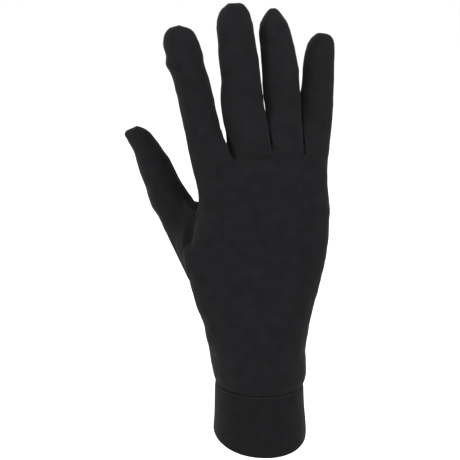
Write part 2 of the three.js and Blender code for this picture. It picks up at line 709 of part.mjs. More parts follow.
// The cuff's sides at a share of its height above the hem, as shares of the wrist seam's section.
const CUFF_SECTIONS = [
  { at: 0.0, thumb: 1.07, little: 1.1, depth: 1.05 },
  { at: 0.1, thumb: 1.065, little: 1.105, depth: 1.055 },
  { at: 0.3, thumb: 1.05, little: 1.085, depth: 1.04 },
  { at: 0.6, thumb: 1.042, little: 1.05, depth: 1.02 },
  { at: 1.0, thumb: 1.025, little: 1.025, depth: 1.03 },
];

// The cuff is a folded band: its outline goes down the outside, round the hem and up the inside.
function cuffMesh() {
  const columns = palmColumns();
  const seam = columns.map((column) => palmPoint(column, 0));
  const away = seam.map((_, i) => {
    const along = seam[(i + 1) % COLUMNS].clone().sub(seam[(i + COLUMNS - 1) % COLUMNS]);
    return new THREE.Vector3(along.y, -along.x, 0).normalize();
  });
  const hemRadius = CUFF_CLOTH / 2;
  const cuffPoint = (i, share, depth, drop) => {
    const x = seam[i].x * read(CUFF_SECTIONS, seam[i].x < 0 ? "thumb" : "little", share);
    const y = seam[i].y * read(CUFF_SECTIONS, "depth", share);
    const low = hemHeight(x, y) + hemRadius;
    const z = mix(low, seam[i].z - SEAM_GAP / 2, share) - drop;
    return new THREE.Vector3(x, y, z).addScaledVector(away[i], -depth);
  };
  const ring = (share, depth, drop) => seam.map((_, i) => cuffPoint(i, share, depth, drop));
  const rings = [];
  for (let i = 0; i <= CUFF_ROWS; i += 1) rings.push(ring(1 - i / CUFF_ROWS, 0, 0));
  for (let i = 1; i < HEM_ROWS; i += 1) {
    const angle = (Math.PI * i) / HEM_ROWS;
    rings.push(ring(0, hemRadius * (1 - Math.cos(angle)), hemRadius * Math.sin(angle)));
  }
  for (let i = 0; i <= CUFF_ROWS; i += 1) rings.push(ring(i / CUFF_ROWS, CUFF_CLOTH, 0));
  const triangles = [];
  rings.forEach((upper, k) => {
    const lower = rings[(k + 1) % rings.length];
    for (let i = 0; i < COLUMNS; i += 1) {
      const next = (i + 1) % COLUMNS;
      triangles.push([lower[i], lower[next], upper[next]]);
      triangles.push([lower[i], upper[next], upper[i]]);
    }
  });
  return bodyMesh("cuff", triangles, CUFF_COLOUR);
}

// Assembly
const palmGrid = buildPalm();
buildFingers(palmGrid[palmGrid.length - 1]);
buildThumb(palmGrid);
foldSkin();

const skinNormals = pointNormals();
const glove = new THREE.Group();
const sewnNames = [
  "back_panel",
  "palm_panel",
  ...CROTCHES.map((crotch) => `fourchette_${crotch.name}`),
  "thumb",
];
for (const name of sewnNames) glove.add(sewnPiece(name, CLOTH_COLOUR, skinNormals));
glove.add(cuffMesh());

export default glove;
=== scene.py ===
import bpy
import numpy as np
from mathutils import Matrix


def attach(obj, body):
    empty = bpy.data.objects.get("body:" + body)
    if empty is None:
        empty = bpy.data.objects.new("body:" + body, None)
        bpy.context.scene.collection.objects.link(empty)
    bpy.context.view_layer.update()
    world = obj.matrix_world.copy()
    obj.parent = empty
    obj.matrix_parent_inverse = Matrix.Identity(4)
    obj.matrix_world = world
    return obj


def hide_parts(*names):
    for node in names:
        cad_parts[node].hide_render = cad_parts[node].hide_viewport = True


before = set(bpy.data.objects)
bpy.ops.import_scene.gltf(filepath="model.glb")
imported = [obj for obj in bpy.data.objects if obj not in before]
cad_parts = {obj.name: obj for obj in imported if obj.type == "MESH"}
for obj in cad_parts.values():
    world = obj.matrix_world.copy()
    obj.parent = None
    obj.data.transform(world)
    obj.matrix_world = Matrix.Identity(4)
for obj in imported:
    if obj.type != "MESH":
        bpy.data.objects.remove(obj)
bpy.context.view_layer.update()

# Cloth
CLOTH = 1.1  # one layer of jersey, with its seam allowances
CUFF_CLOTH = 2.3  # the cuff's two layers
STALL_GAP = 0.16  # air between two stalls that lie against each other

# Cuff
CUFF_WIDTH = 50
CUFF_DEPTH = 39
CUFF_HEIGHT = 26  # mouth to the height from which the palm is measured
CUFF_DROOP = 8.8  # how far the hem hangs lower at the back
CUFF_TILT = 1.8  # how far the hem is higher on the thumb's side, and lower on the other
DROOP_TURN = 0.3  # how gradually the hem and the wrist seam start to drop towards the back
SHOULDER = 0.5  # how far the cuff's top edge is rounded over into the seam
SHOULDER_HEIGHT = 0.9  # width of that rounding's bell curve
CUFF_GAP = 0.1  # between the cuff and the panels

# Wrist seam
WRIST_RISE = 3.4  # how much higher than CUFF_HEIGHT it lies at the sides and on the palm
WRIST_TILT = 0.5  # how much more than that on the thumb's side, and less on the other
WRIST_DROOP = 2.0  # how far it drops at the back
WRIST_REACH = 0.22  # share of the palm's length up to which the cloth follows it

# Palm and back
PALM_LENGTH = 131  # to the knuckles
PALM_THICKNESS = 26  # at the knuckles
THUMB_HOLE_LOW = 62  # above the palm's start
THUMB_HOLE_HIGH = 99
SIDE_SEAM_TURN = 28  # degrees from an edge's middle to its seam

# Net: columns on each face of a stall, and rows
FACE = 20
ROWS_BELOW_THUMB = 58
ROWS_BESIDE_THUMB = 30
ROWS_ABOVE_THUMB = 30
STALL_ROWS = 58
CAP_ROWS = 18
CUFF_ROWS = 28
HEM_ROWS = 10
COLUMNS = 10 * FACE  # four faces each for the back and the palm, and one for each edge between them
PALM_END = 9 * FACE  # the palm's last column, beside the thumb edge


def table(names, *rows):
    """The columns of a short table, by name."""
    return dict(zip(names.split(), np.array(rows, float).T))


# Sections of the palm, as shares of its half width and half depth there, at shares of its length.
# round: the section's exponent. seam: degrees from the thumb edge's middle to the seam on the back.
PALM_SECTIONS = table(
    "at thumb little back palm round seam",
    (0.0, 0.965, 0.955, 0.95, 0.95, 2.1, 28),
    (0.035, 1.0, 1.005, 1.02, 1.0, 2.1, 28),
    (0.08, 1.02, 0.99, 1.03, 1.0, 2.1, 28),
    (0.15, 1.035, 0.945, 1.01, 1.0, 2.15, 28),
    (0.22, 1.07, 0.955, 0.99, 1.0, 2.2, 27),
    (0.29, 1.09, 0.965, 0.96, 1.02, 2.3, 25),
    (0.36, 1.175, 0.995, 0.93, 1.06, 2.35, 22),
    (0.43, 1.23, 1.045, 0.9, 1.1, 2.4, 16),
    (0.5, 1.275, 1.085, 0.88, 1.14, 2.4, 9),
    (0.57, 1.3, 1.105, 0.88, 1.15, 2.4, 6),
    (0.64, 1.235, 1.105, 0.89, 1.1, 2.4, 6),
    (0.71, 1.08, 1.093, 0.91, 1.05, 2.45, 8),
    (0.78, 0.985, 1.078, 0.93, 1.0, 2.5, 14),
    (0.85, 0.945, 1.02, 0.95, 0.96, 2.5, 22),
    (0.92, 0.98, 0.978, 0.97, 0.93, 2.5, 27),
    (1.0, 1.025, 0.953, 0.97, 0.9, 2.5, 30),
)

# Crotches between the stalls, on the back, in the middle and on the palm. across: share of half the
# width at the knuckles. high: share of the palm's length. split: where the air between the two stalls
# begins, as a share of the way from one axis to the other.
CROTCH_NAMES = ("index_middle", "middle_ring", "ring_little")
CROTCHES = table(
    "back_across middle_across palm_across back_high middle_high palm_high split",
    (-0.364, -0.487, -0.45, 0.992, 1.04, 1.02, 0.49),
    (0.162, 0.12, 0.08, 1.033, 1.072, 1.055, 0.55),
    (0.66, 0.615, 0.565, 1.01, 1.05, 1.035, 0.55),
)
CROTCH_RISE = 1.3  # exponent of the arch over a crotch: above 1 it starts low
THUMB_EDGE_HIGH = 0.992  # where the palm ends at the index finger's outer edge
LITTLE_EDGE_HIGH = 0.965
SPLIT_LENGTH = 0.28  # share of the palm's length over which the air moves midway between the axes
SPLIT_SLANT = 0.16  # how far it leans sideways for each millimetre towards the palm

# The dents between the knuckles, as shares of half the depth, half the width and the palm's length
GROOVE_DEPTH = 0.16
GROOVE_WIDTH = 0.15
GROOVE_LENGTH = 0.1

# Stalls. seat: the axis's place at the root, as a share of the width. across, high: the root's place, as
# shares of half the width at the knuckles and of the palm's length. lean: degrees. start, curl, power:
# how far the axis lies towards the palm, as shares of the thickness. sections: half widths to the left
# and right of the axis, as shares of the width, at shares of the length.
INDEX = {
    "width": 18.6, "length": 71.5, "thickness": 17.0,
    "seat": 0.49, "high": 0.992, "lean": -13.4, "start": 0.03, "curl": 0.42, "power": 1.6,
    "sections": table(
        "at left right",
        (0.0, 0.505, 0.44),
        (0.15, 0.48, 0.44),
        (0.3, 0.455, 0.5),
        (0.45, 0.44, 0.56),
        (0.6, 0.446, 0.555),
        (0.69, 0.48, 0.53),
        (0.75, 0.535, 0.555),
        (0.81, 0.48, 0.53),
        (0.88, 0.487, 0.49),
        (0.93, 0.43, 0.43),
        (0.96, 0.365, 0.315),
        (0.985, 0.275, 0.155),
        (1.0, 0.18, 0.085),
    ),
}
MIDDLE = {
    "width": 20.4, "length": 80.6, "thickness": 18.0,
    "seat": 0.6, "high": 1.004, "lean": -5.9, "start": -0.08, "curl": 0.4, "power": 1.6,
    "sections": table(
        "at left right",
        (0.0, 0.588, 0.57),
        (0.15, 0.56, 0.575),
        (0.3, 0.585, 0.57),
        (0.4, 0.58, 0.55),
        (0.5, 0.52, 0.525),
        (0.6, 0.515, 0.503),
        (0.75, 0.5, 0.455),
        (0.85, 0.495, 0.447),
        (0.9, 0.465, 0.41),
        (0.93, 0.42, 0.385),
        (0.96, 0.345, 0.32),
        (0.985, 0.215, 0.25),
        (1.0, 0.127, 0.14),
    ),
}
RING = {
    "width": 18.8, "length": 77.9, "thickness": 17.4,
    "seat": 0.675, "high": 1.001, "lean": -6.5, "start": 0.03, "curl": 0.46, "power": 1.6,
    "sections": table(
        "at left right",
        (0.0, 0.505, 0.53),
        (0.3, 0.515, 0.56),
        (0.5, 0.51, 0.567),
        (0.6, 0.466, 0.55),
        (0.75, 0.455, 0.487),
        (0.85, 0.447, 0.415),
        (0.9, 0.404, 0.351),
        (0.93, 0.338, 0.29),
        (0.96, 0.252, 0.225),
        (0.985, 0.135, 0.15),
        (1.0, 0.06, 0.075),
    ),
}
LITTLE = {
    "width": 16.6, "length": 66.0, "thickness": 15.5,
    "seat": 0.458, "high": 0.987, "lean": 2.6, "start": 0.22, "curl": 0.45, "power": 1.6,
    "sections": table(
        "at left right",
        (0.0, 0.542, 0.4),
        (0.15, 0.542, 0.455),
        (0.3, 0.542, 0.515),
        (0.5, 0.54, 0.53),
        (0.6, 0.515, 0.52),
        (0.75, 0.51, 0.485),
        (0.85, 0.47, 0.465),
        (0.9, 0.41, 0.455),
        (0.93, 0.35, 0.445),
        (0.96, 0.275, 0.4),
        (0.985, 0.165, 0.31),
        (1.0, 0.09, 0.16),
    ),
}
THUMB = {
    "width": 18.0, "length": 86.5, "thickness": 18.0,
    "across": -0.847, "high": 0.489, "lean": -25.1, "start": 0.5, "curl": 0.94, "power": 1.2,
    "sections": table(
        "at left right",
        (0.0, 0.52, 0.62),
        (0.3, 0.51, 0.66),
        (0.44, 0.505, 0.66),
        (0.51, 0.56, 0.61),
        (0.58, 0.53, 0.56),
        (0.65, 0.483, 0.555),
        (0.72, 0.464, 0.55),
        (0.79, 0.43, 0.5),
        (0.86, 0.375, 0.42),
        (0.895, 0.372, 0.375),
        (0.93, 0.4, 0.32),
        (0.96, 0.4, 0.22),
        (0.985, 0.4, 0.1),
        (1.0, 0.31, 0.02),
    ),
}
FINGERS = (INDEX, MIDDLE, RING, LITTLE)
STALL_ROUND = 2.25  # exponent of a stall's section
STALL_BLEND = 25  # how far the root's own shape fades into the stall's
THUMB_BLEND = 30
THUMB_WEB_BLEND = 6  # the same on the thumb's side towards the palm
CAP_TAPER = 0.72  # share of the length where a stall starts to grow thinner
CAP_START = 0.86  # share of the length where its rows start to lie closer
CAP_ROUND = 2.3
FIRST_CORNER = -135  # degrees round a stall's section where its columns start

# Where the net is smoothed: the strongest weight, how far it reaches, and the number of rounds
JOINT_SOFTENING = (0.5, 5, 3)
WEB_SOFTENING = (0.6, 16, 40)
TIP_SOFTENING = (0.5, 3, 4)
INWARD_ROUNDS = 6  # rounds of averaging for the direction in which the cloth is thickened

# The cuff's sides at shares of its height, as shares of the wrist seam's section
CUFF_SECTIONS = table(
    "at thumb little depth",
    (0.0, 1.07, 1.1, 1.05),
    (0.1, 1.065, 1.105, 1.055),
    (0.3, 1.05, 1.085, 1.04),
    (0.6, 1.042, 1.05, 1.02),
    (1.0, 1.03, 1.025, 1.035),
)

# Folds and dents. side: -1 on the back, 1 on the palm. x, z: from the fold's start to its end.
# width: that of its bell curve. height: how far it rises, below 0 for a dent.
FOLDS = table(
    "side x0 z0 x1 z1 width height",
    (-1, -37.0, 125.5, -39.6, 111.0, 2.0, -2.5),
    (-1, -41.2, 115.0, -41.3, 109.5, 1.2, 1.2),
    (-1, -41.3, 109.5, -39.2, 95.0, 1.3, 1.0),
    (-1, -26.8, 47.0, -18.6, 36.5, 3.4, -0.5),
    (-1, -6.5, 158.6, 3.4, 157.6, 1.7, -0.8),
    (-1, -4.0, 161.5, 5.0, 161.0, 1.9, 0.55),
    (-1, -17.2, 163.0, -16.2, 157.0, 1.2, 0.4),
    (-1, -16.2, 157.0, -11.1, 155.0, 1.2, 0.35),
    (-1, 9.2, 163.2, 9.8, 161.5, 1.4, 0.45),
    (-1, -18.6, 31.2, 23.1, 31.2, 3.6, 0.2),
    (1, -14.9, 65.3, 0.0, 115.1, 10.4, -1.8),
    (1, 0.0, 134.7, 27.9, 125.6, 6.5, -1.3),
    (1, -14.9, 39.1, 14.9, 43.0, 4.2, -1.3),
)

# Unevenness of the cloth: height, seed, and rough length of the waves
UNEVENNESS = ((0.12, 7, 16), (0.2, 8, 40))
WAVES = 24

# Seams: how far the cloth turns in at a seam, and the ridge that the allowance makes beside it
SEAM_DIP = 0.12
SEAM_DIP_WIDTH = 0.7
SEAM_RIDGE = 0.02
SEAM_RIDGE_AWAY = 2.3
SEAM_RIDGE_WIDTH = 1.1
SEAM_REACH = 7

# Stitches along the wrist seam
STITCH_PITCH = 2.2
STITCH_LENGTH = 2.05
STITCH_PLACE = 0.55  # share of the way from the cuff's edge to the next row of its net
STITCH_SINK = 0.6  # how deep a stitch's ends lie in the cloth, in thicknesses of the thread
THREAD = 0.34  # thickness
STITCH_STEP = 0.2  # from a place on the path to the one ahead that gives its direction
STITCH_RINGS = 7
STITCH_SIDES = 8

KNUCKLE_WIDTH = sum(finger["width"] for finger in FINGERS)
HALF_KNUCKLES = KNUCKLE_WIDTH / 2
PIECES = ("back_panel", "palm_panel", *(f"fourchette_{name}" for name in CROTCH_NAMES), "thumb")
BACK, PALM = 0, 1
FIRST_FOURCHETTE = 2
THUMB_PIECE = 5


def mix(a, b, share):
    """The value at a share of the way from a to b."""
    return a + (b - a) * share


def fade(distance, reach):
    """Falls smoothly from 1 to 0 while distance goes from 0 to reach."""
    u = np.clip(distance / reach, 0, 1)
    return (1 - u) ** 2 * (1 + 2 * u)


def signed_power(base, exponent):
    """A power of the size of the base, with the sign of the base."""
    return np.sign(base) * np.abs(base) ** exponent


def height_at(share):
    """The height at a share of the palm's length."""
    return CUFF_HEIGHT + share * PALM_LENGTH


def read(columns, name, place):
    """One column of a table at places along it: a cubic from row to row, whose slope at a row is that
    between the row's two neighbours."""
    at = columns["at"]
    value = columns[name]
    rows = np.arange(len(at))
    before = np.maximum(rows - 1, 0)
    after = np.minimum(rows + 1, len(at) - 1)
    slope = (value[after] - value[before]) / (at[after] - at[before])
    place = np.clip(place, at[0], at[-1])
    row = np.clip(np.searchsorted(at, place) - 1, 0, len(at) - 2)
    span = at[row + 1] - at[row]
    u = (place - at[row]) / span
    turn = u * (1 - u) * span * ((1 - u) * slope[row] - u * slope[row + 1])
    return mix(value[row], value[row + 1], u * u * (3 - 2 * u)) + turn


def arc(points, axis):
    """Distance along the rows or columns of a grid of points, from the first."""
    steps = np.linalg.norm(np.diff(points, axis=axis), axis=-1)
    start = np.zeros_like(np.take(steps, [0], axis=axis))
    return np.concatenate([start, np.cumsum(steps, axis=axis)], axis=axis)


class Skin:
    """A branching net of four-cornered faces. Each face has a piece, and each of its corners a place on
    the flat cloth."""

    def __init__(self):
        self.points = np.empty((0, 3))
        self.flat = np.empty((0, 2))
        self.faces = np.empty((0, 4), int)
        self.cloth = np.empty((0, 4, 2))
        self.piece = np.empty(0, int)
        self.tips = []  # the point numbers of each stall's last row

    def add_points(self, points, flat):
        """Adds points of any grid shape, and gives their numbers in that shape."""
        first = len(self.points)
        self.points = np.concatenate([self.points, points.reshape(-1, 3)])
        self.flat = np.concatenate([self.flat, flat.reshape(-1, 2)])
        return np.arange(first, len(self.points)).reshape(points.shape[:-1])

    def add_faces(self, numbers, cloth, piece, keep=None):
        """Adds the face between each two neighbouring rows and columns of a grid of point numbers."""

        def corners(grid):
            return np.stack([grid[:-1, :-1], grid[:-1, 1:], grid[1:, 1:], grid[1:, :-1]], axis=2)

        faces = corners(numbers)
        kept = np.ones(faces.shape[:2], bool) if keep is None else keep
        self.faces = np.concatenate([self.faces, faces[kept]])
        self.cloth = np.concatenate([self.cloth, corners(cloth)[kept]])
        self.piece = np.concatenate([self.piece, np.broadcast_to(piece, faces.shape[:2])[kept]])

    def sides(self):
        """The point numbers at the start and end of each face's sides."""
        return self.faces.ravel(), np.roll(self.faces, -1, axis=1).ravel()

    def normals(self):
        """Outward direction at each point: the sum of its faces' crossed diagonals, made one long."""
        a, b, c, d = (self.points[self.faces[:, i]] for i in range(4))
        across = np.cross(c - a, d - b)
        total = np.zeros_like(self.points)
        for i in range(4):
            np.add.at(total, self.faces[:, i], across)
        return total / np.maximum(np.linalg.norm(total, axis=1, keepdims=True), 1e-9)

    def borders(self):
        """The numbers of the points where two pieces meet."""
        lowest = np.full(len(self.points), len(PIECES))
        highest = np.full(len(self.points), -1)
        for i in range(4):
            np.minimum.at(lowest, self.faces[:, i], self.piece)
            np.maximum.at(highest, self.faces[:, i], self.piece)
        return np.flatnonzero(lowest < highest)

    def averaged(self, values):
        """The average of a value of three numbers over each point's neighbours."""
        a, b = self.sides()
        start, end = np.concatenate([a, b]), np.concatenate([b, a])
        count = np.maximum(np.bincount(start, minlength=len(values)), 1)
        total = [np.bincount(start, values[end, k], len(values)) for k in range(3)]
        return np.stack(total, axis=1) / count[:, None]

    def inward(self):
        """Direction from the outside of the cloth to its inside at each point: the normals, averaged
        some rounds over, which makes them shorter where the skin turns sharply."""
        direction = -self.normals()
        for _ in range(INWARD_ROUNDS):
            direction = (direction + self.averaged(direction)) / 2
        return direction

    def way_from(self, seeds, reach):
        """Shortest way from the seed points to each point, along sides and diagonals, up to reach."""
        a, b = self.sides()
        c, d = self.faces[:, :2].ravel(), self.faces[:, 2:].ravel()
        start = np.concatenate([a, c])
        end = np.concatenate([b, d])
        length = np.linalg.norm(self.points[start] - self.points[end], axis=1)
        way = np.full(len(self.points), float(reach))
        way[seeds] = 0
        # Each round goes on by one side, and most sides are longer than half a millimetre.
        for _ in range(int(2 * reach)):
            np.minimum.at(way, start, way[end] + length)
            np.minimum.at(way, end, way[start] + length)
        return way

    def soften(self, seeds, strongest, reach, rounds):
        """Moves the points near the seeds towards the average of their neighbours, some rounds over.
        The weight of that average fades with the way from the seeds."""
        weight = strongest * fade(self.way_from(seeds, reach), reach)
        for _ in range(rounds):
            self.points += (self.averaged(self.points) - self.points) * weight[:, None]


# Palm


def drop_to_back(y):
    """0 on the palm and nearly 1 at the back of the wrist, along one branch of a hyperbola."""
    to_back = -2 * y / CUFF_DEPTH
    return (to_back + np.hypot(to_back, DROOP_TURN)) / 2


def wrist_rise(x, y):
    """How far the wrist seam lies above CUFF_HEIGHT: tilted across the palm, and lower at the back."""
    return WRIST_RISE - 2 * WRIST_TILT * x / CUFF_WIDTH - WRIST_DROOP * drop_to_back(y)


def knuckle_line(face):
    """Where the palm's skin ends, along the back or the palm face."""
    middle = zip(CROTCHES[f"{face}_across"], CROTCHES[f"{face}_high"])
    return table("at high", (-1, THUMB_EDGE_HIGH), *middle, (1, LITTLE_EDGE_HIGH))


def palm_columns():
    """The palm's columns as arrays: the back from the thumb's side over, the little edge, the palm face
    back again, and the thumb edge. place is a share across a face, or round an edge."""
    stalls = np.arange(4 * FACE + 1) / FACE
    turns = np.arange(1, FACE) / FACE
    lines = {face: knuckle_line(face) for face in ("back", "palm")}
    across = {face: np.interp(stalls, np.arange(5), line["at"]) for face, line in lines.items()}
    high = {face: read(line, "high", across[face]) for face, line in lines.items()}
    little = np.full(FACE - 1, LITTLE_EDGE_HIGH)
    thumb = np.full(FACE - 1, THUMB_EDGE_HIGH)
    return {
        "face": np.repeat([0, 1, 2, 3], [4 * FACE + 1, FACE - 1, 4 * FACE + 1, FACE - 1]),
        "place": np.concatenate([across["back"], turns, across["palm"][::-1], turns]),
        "high": np.concatenate([high["back"], little, high["palm"][::-1], thumb]),
    }


def unit_section(columns, power, seam):
    """Places on the curve |x|^power + |y|^power = 1: on a face by x, which the seams' turns narrow, and
    on an edge by the angle between its seams."""
    face = columns["face"]
    place = columns["place"]

    def corner(turn):
        return np.cos(np.radians(turn)) ** (2 / power)

    own = np.where((face == 0) & (place < 0), corner(seam), corner(SIDE_SEAM_TURN))
    flat_x = place * mix(corner(SIDE_SEAM_TURN), own, place**2)
    flat_y = np.maximum(1 - np.abs(flat_x) ** power, 0) ** (1 / power) * np.where(face == 0, -1, 1)
    little = mix(-SIDE_SEAM_TURN, SIDE_SEAM_TURN, place)
    thumb = mix(180 - SIDE_SEAM_TURN, 180 + seam, place)
    angle = np.radians(np.where(face == 1, little, thumb))
    on_face = (face == 0) | (face == 2)
    x = np.where(on_face, flat_x, signed_power(np.cos(angle), 2 / power))
    y = np.where(on_face, flat_y, signed_power(np.sin(angle), 2 / power))
    return x, y


def groove_at(columns, high):
    """The dents between the knuckles: a bell curve across each crotch that fades down the palm."""
    face = columns["face"]
    centres = np.where((face == 0)[:, None], CROTCHES["back_across"], CROTCHES["palm_across"])
    dent = np.exp(-(((columns["place"][:, None] - centres) / GROOVE_WIDTH) ** 2)).sum(axis=1)
    dent *= (face == 0) | (face == 2)
    return GROOVE_DEPTH * dent * fade((columns["high"] - high) / GROOVE_LENGTH, 1)


def palm_surface(columns, high):
    """Points of the palm: the unit section, widened and deepened by the table at each height, and raised
    near the wrist seam as that seam is."""
    x, y = unit_section(columns, read(PALM_SECTIONS, "round", high), read(PALM_SECTIONS, "seam", high))
    share = np.clip(high, 0, 1)
    thumb = read(PALM_SECTIONS, "thumb", high)
    little = read(PALM_SECTIONS, "little", high)
    width = mix(CUFF_WIDTH, KNUCKLE_WIDTH, share) / 2 * np.where(x < 0, thumb, little)
    back = read(PALM_SECTIONS, "back", high)
    palm = read(PALM_SECTIONS, "palm", high)
    depth = mix(CUFF_DEPTH, PALM_THICKNESS, share) / 2 * np.where(y < 0, back, palm)
    depth = depth * (1 - groove_at(columns, high))
    x, y = x * width, y * depth
    rise = wrist_rise(x, y) * fade(high / WRIST_REACH, 1)
    return np.stack([x, y, height_at(high) + rise], axis=-1)


def palm_rows():
    """Rows from the wrist seam to the knuckles, as shares of each column's height."""
    low = THUMB_HOLE_LOW / PALM_LENGTH / THUMB_EDGE_HIGH
    high = THUMB_HOLE_HIGH / PALM_LENGTH / THUMB_EDGE_HIGH
    below = np.linspace(0, low, ROWS_BELOW_THUMB + 1)
    beside = np.linspace(low, high, ROWS_BESIDE_THUMB + 1)
    above = np.linspace(high, 1, ROWS_ABOVE_THUMB + 1)
    return np.concatenate([below, beside[1:], above[1:]])


HOLE_FIRST_ROW = ROWS_BELOW_THUMB
HOLE_LAST_ROW = ROWS_BELOW_THUMB + ROWS_BESIDE_THUMB
HOLE_FIRST_COLUMN = COLUMNS - ROWS_BESIDE_THUMB


def build_palm(skin):
    """Adds the palm's net, without the thumb's hole, and gives its point numbers."""
    columns = palm_columns()
    points = palm_surface(columns, palm_rows()[:, None] * columns["high"])
    closed = np.concatenate([points, points[:, :1]], axis=1)
    across = arc(closed, 1)
    flat = np.stack([across - across[:, 2 * FACE, None], arc(closed, 0)], axis=-1)
    numbers = skin.add_points(points, flat[:, :-1])
    row, column = np.indices((len(points) - 1, COLUMNS))
    in_hole = (row >= HOLE_FIRST_ROW) & (row < HOLE_LAST_ROW) & (column >= HOLE_FIRST_COLUMN)
    piece = np.where(column < 4 * FACE, BACK, PALM)
    skin.add_faces(np.concatenate([numbers, numbers[:, :1]], axis=1), flat, piece, ~in_hole)
    return numbers


# Stalls


def stall_points(stall, share, angle):
    """Points of a stall: the curve |x|^p + |y|^p = 1, with p = STALL_ROUND, widened by the table and set
    square to a leaning axis. The axis bends towards the palm by a power of the share. Over the stall's
    end its depth falls along a curve of the same kind."""
    lean = np.radians(stall["lean"])
    x = signed_power(np.cos(angle), 2 / STALL_ROUND)
    y = signed_power(np.sin(angle), 2 / STALL_ROUND)
    sections = stall["sections"]
    side = np.where(x < 0, read(sections, "left", share), read(sections, "right", share))
    across = x * stall["width"] * side
    end = np.clip((share - CAP_TAPER) / (1 - CAP_TAPER), 0, 1)
    deep = y * 0.5 * stall["thickness"] * np.maximum(1 - end**CAP_ROUND, 0) ** (1 / CAP_ROUND)
    run = share * stall["length"]
    bend = stall["start"] + stall["curl"] * np.maximum(share, 0) ** stall["power"]
    return np.stack(
        [
            stall["root"][0] + run * np.sin(lean) + across * np.cos(lean),
            stall["thickness"] * bend + deep,
            stall["root"][1] + run * np.cos(lean) - across * np.sin(lean),
        ],
        axis=-1,
    )


def share_at(stall, points):
    """The share of the stall's length that lies level with each point."""
    lean = np.radians(stall["lean"])
    across = (points[..., 0] - stall["root"][0]) * np.sin(lean)
    return (across + (points[..., 2] - stall["root"][1]) * np.cos(lean)) / stall["length"]


def split_across(index, points):
    """Where the air between two stalls lies, at each point's height and depth."""
    above = (points[..., 2] - height_at(CROTCHES["middle_high"][index])) / (SPLIT_LENGTH * PALM_LENGTH)
    above = np.clip(above, 0, 1)
    share = mix(CROTCHES["split"][index], 0.5, above)
    left, right = (
        stall["root"][0] + (points[..., 2] - stall["root"][1]) * np.tan(np.radians(stall["lean"]))
        for stall in FINGERS[index : index + 2]
    )
    return mix(left, right, share) - SPLIT_SLANT * points[..., 1] * (1 - above)


def press_back(index, points):
    """Keeps a finger stall's points clear of the air on either side."""
    if index > 0:
        points[..., 0] = np.maximum(points[..., 0], split_across(index - 1, points) + STALL_GAP / 2)
    if index < len(CROTCH_NAMES):
        points[..., 0] = np.minimum(points[..., 0], split_across(index, points) - STALL_GAP / 2)


def stall_rows():
    """Rows of a stall as shares of its free length: even along it, then closer over its end."""
    free = np.linspace(0, CAP_START, STALL_ROWS + 1)
    cap = np.sin(0.5 * np.pi * np.arange(1, CAP_ROWS + 1) / CAP_ROWS)
    return np.concatenate([free[1:], mix(CAP_START, 1, cap)])


def build_stall(skin, stall, loop, blend, finger, pieces):
    """Adds a closed stall on a loop of point numbers. The loop's own shape fades into the stall's over
    the blend. pieces gives each face's piece along the stall and over its end."""
    side = len(loop) // 4
    angle = np.radians(FIRST_CORNER + 90 * np.arange(len(loop)) / side)
    start = skin.points[loop]
    first = share_at(stall, start)
    offset = start - stall_points(stall, first, angle)
    share = mix(first, 1, stall_rows()[:, None])
    faded = fade((share - first) * stall["length"], blend(angle))
    points = stall_points(stall, share, angle) + offset * faded[..., None]
    if finger is not None:
        press_back(finger, points)
    whole = np.concatenate([start[None], points])
    whole = np.concatenate([whole, whole[:, :1]], axis=1)
    across = arc(whole, 1)
    along = arc(whole, 0) + np.append(skin.flat[loop, 1], skin.flat[loop[0], 1])
    numbers = skin.add_points(points, np.zeros(points.shape[:2] + (2,)))
    # The last row is flat, so its two faces share their points.
    column = np.arange(len(loop))
    mirrored = (3 * side - column) % len(loop)
    numbers[-1] = numbers[-1, np.minimum(column, mirrored)]
    skin.tips.append(numbers[-1])
    numbers = np.concatenate([loop[None], numbers])
    numbers = np.concatenate([numbers, numbers[:, :1]], axis=1)
    for face in range(4):
        columns = slice(face * side, (face + 1) * side + 1)
        middle = face * side + side // 2
        own = across[:, columns] - across[:, middle, None] + skin.flat[loop[middle], 0]
        cloth = np.stack([own, along[:, columns]], axis=-1)
        for rows, piece in zip((slice(0, STALL_ROWS + 1), slice(STALL_ROWS, None)), pieces[face]):
            skin.add_faces(numbers[rows, columns], cloth[rows], piece)


def crotch_path(skin, index, start, end):
    """Adds the points over a crotch, between its ends on the back and the palm: an arch that starts low
    and passes through the crotch's middle."""
    u = np.arange(1, FACE) / FACE
    arch = 4 * u * (1 - u)
    rise = arch**CROTCH_RISE
    a, b = skin.points[start], skin.points[end]
    x = mix(a[0], b[0], u) + arch * (CROTCHES["middle_across"][index] * HALF_KNUCKLES - (a[0] + b[0]) / 2)
    y = mix(a[1], b[1], u)
    top = height_at(CROTCHES["middle_high"][index])
    z = mix(a[2], b[2], u) + rise * (top - (a[2] + b[2]) / 2)
    flat = np.stack([u * 0, mix(skin.flat[start, 1], skin.flat[end, 1], u)], axis=-1)
    return skin.add_points(np.stack([x, y, z], axis=-1), flat)


